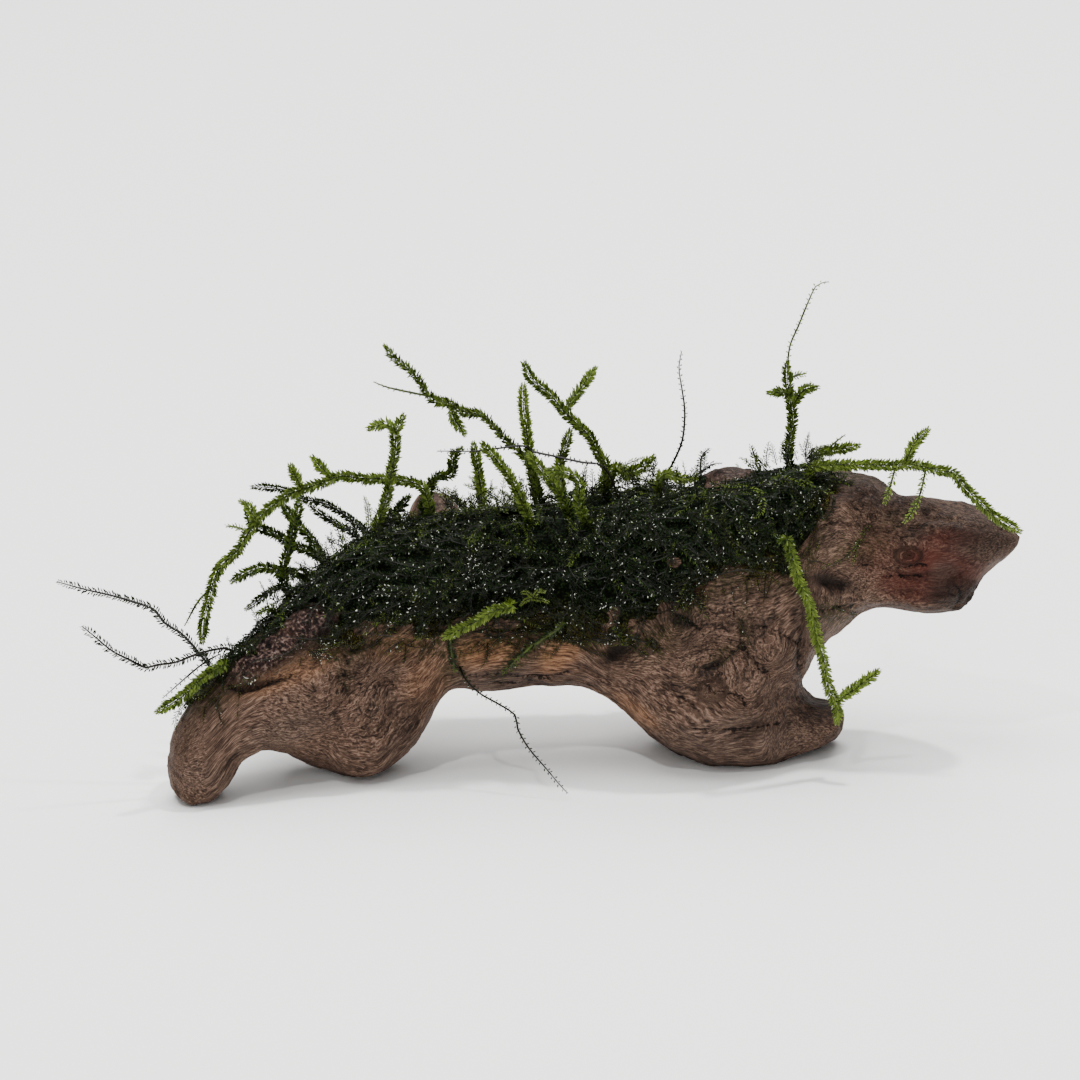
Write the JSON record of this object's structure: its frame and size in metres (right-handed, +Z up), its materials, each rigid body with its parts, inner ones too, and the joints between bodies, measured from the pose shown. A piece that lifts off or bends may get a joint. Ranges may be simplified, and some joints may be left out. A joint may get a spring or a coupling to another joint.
{
  "type": "aquarium moss on driftwood",
  "caption": "Knobby branching piece of driftwood standing on three feet, its top covered by a dark moss mat with thin leafy shoots that stand out, arch over and hang down.",
  "frame": {"origin": "middle of the bounding box's base, level with the flat soles that the wood stands on", "axes": "+X to the right along the wood, towards its right branch; +Y away from the front; +Z up"},
  "size_m": [0.1724, 0.0565, 0.0851],
  "materials": {
    "driftwood": "wet weathered wood, satin, long fibres",
    "moss_mat": "wet dense moss, glossy points",
    "moss_shoots": "wet moss leaves, slightly see-through"
  },
  "bodies": {
    "root": {"driftwood_trunk": "driftwood", "driftwood_left_foot": "driftwood", "driftwood_middle_lobe": "driftwood", "driftwood_right_foot": "driftwood", "driftwood_right_branch": "driftwood", "driftwood_back_knob": "driftwood", "moss_mat": "moss_mat", "moss_far_left_upper": "moss_shoots", "moss_far_left_lower": "moss_shoots", "moss_foot_leafy": "moss_shoots", "moss_foot_bare": "moss_shoots", "moss_arch": "moss_shoots", "moss_left_high": "moss_shoots", "moss_left_middle": "moss_shoots", "moss_left_low": "moss_shoots", "moss_shoulder_dark": "moss_shoots", "moss_shoulder_short": "moss_shoots", "moss_shoulder_low": "moss_shoots", "moss_shoulder_upright": "moss_shoots", "moss_shoulder_back": "moss_shoots", "moss_bushy": "moss_shoots", "moss_bushy_short": "moss_shoots", "moss_slanting": "moss_shoots", "moss_crown_upright": "moss_shoots", "moss_crown_level": "moss_shoots", "moss_crown_left": "moss_shoots", "moss_crown_dark": "moss_shoots", "moss_pair_left": "moss_shoots", "moss_pair_right": "moss_shoots", "moss_middle_slanting": "moss_shoots", "moss_middle_low": "moss_shoots", "moss_middle_back": "moss_shoots", "moss_middle_right": "moss_shoots", "moss_tall_bare": "moss_shoots", "moss_ridge_feathery": "moss_shoots", "moss_ridge_dark": "moss_shoots", "moss_ridge_short": "moss_shoots", "moss_tall_right": "moss_shoots", "moss_right_back": "moss_shoots", "moss_along_branch": "moss_shoots", "moss_hanging_right": "moss_shoots", "moss_hanging_bridge": "moss_shoots", "moss_lying_bright": "moss_shoots", "moss_lying_middle": "moss_shoots", "moss_lying_left": "moss_shoots"}
  },
  "joints": []
}
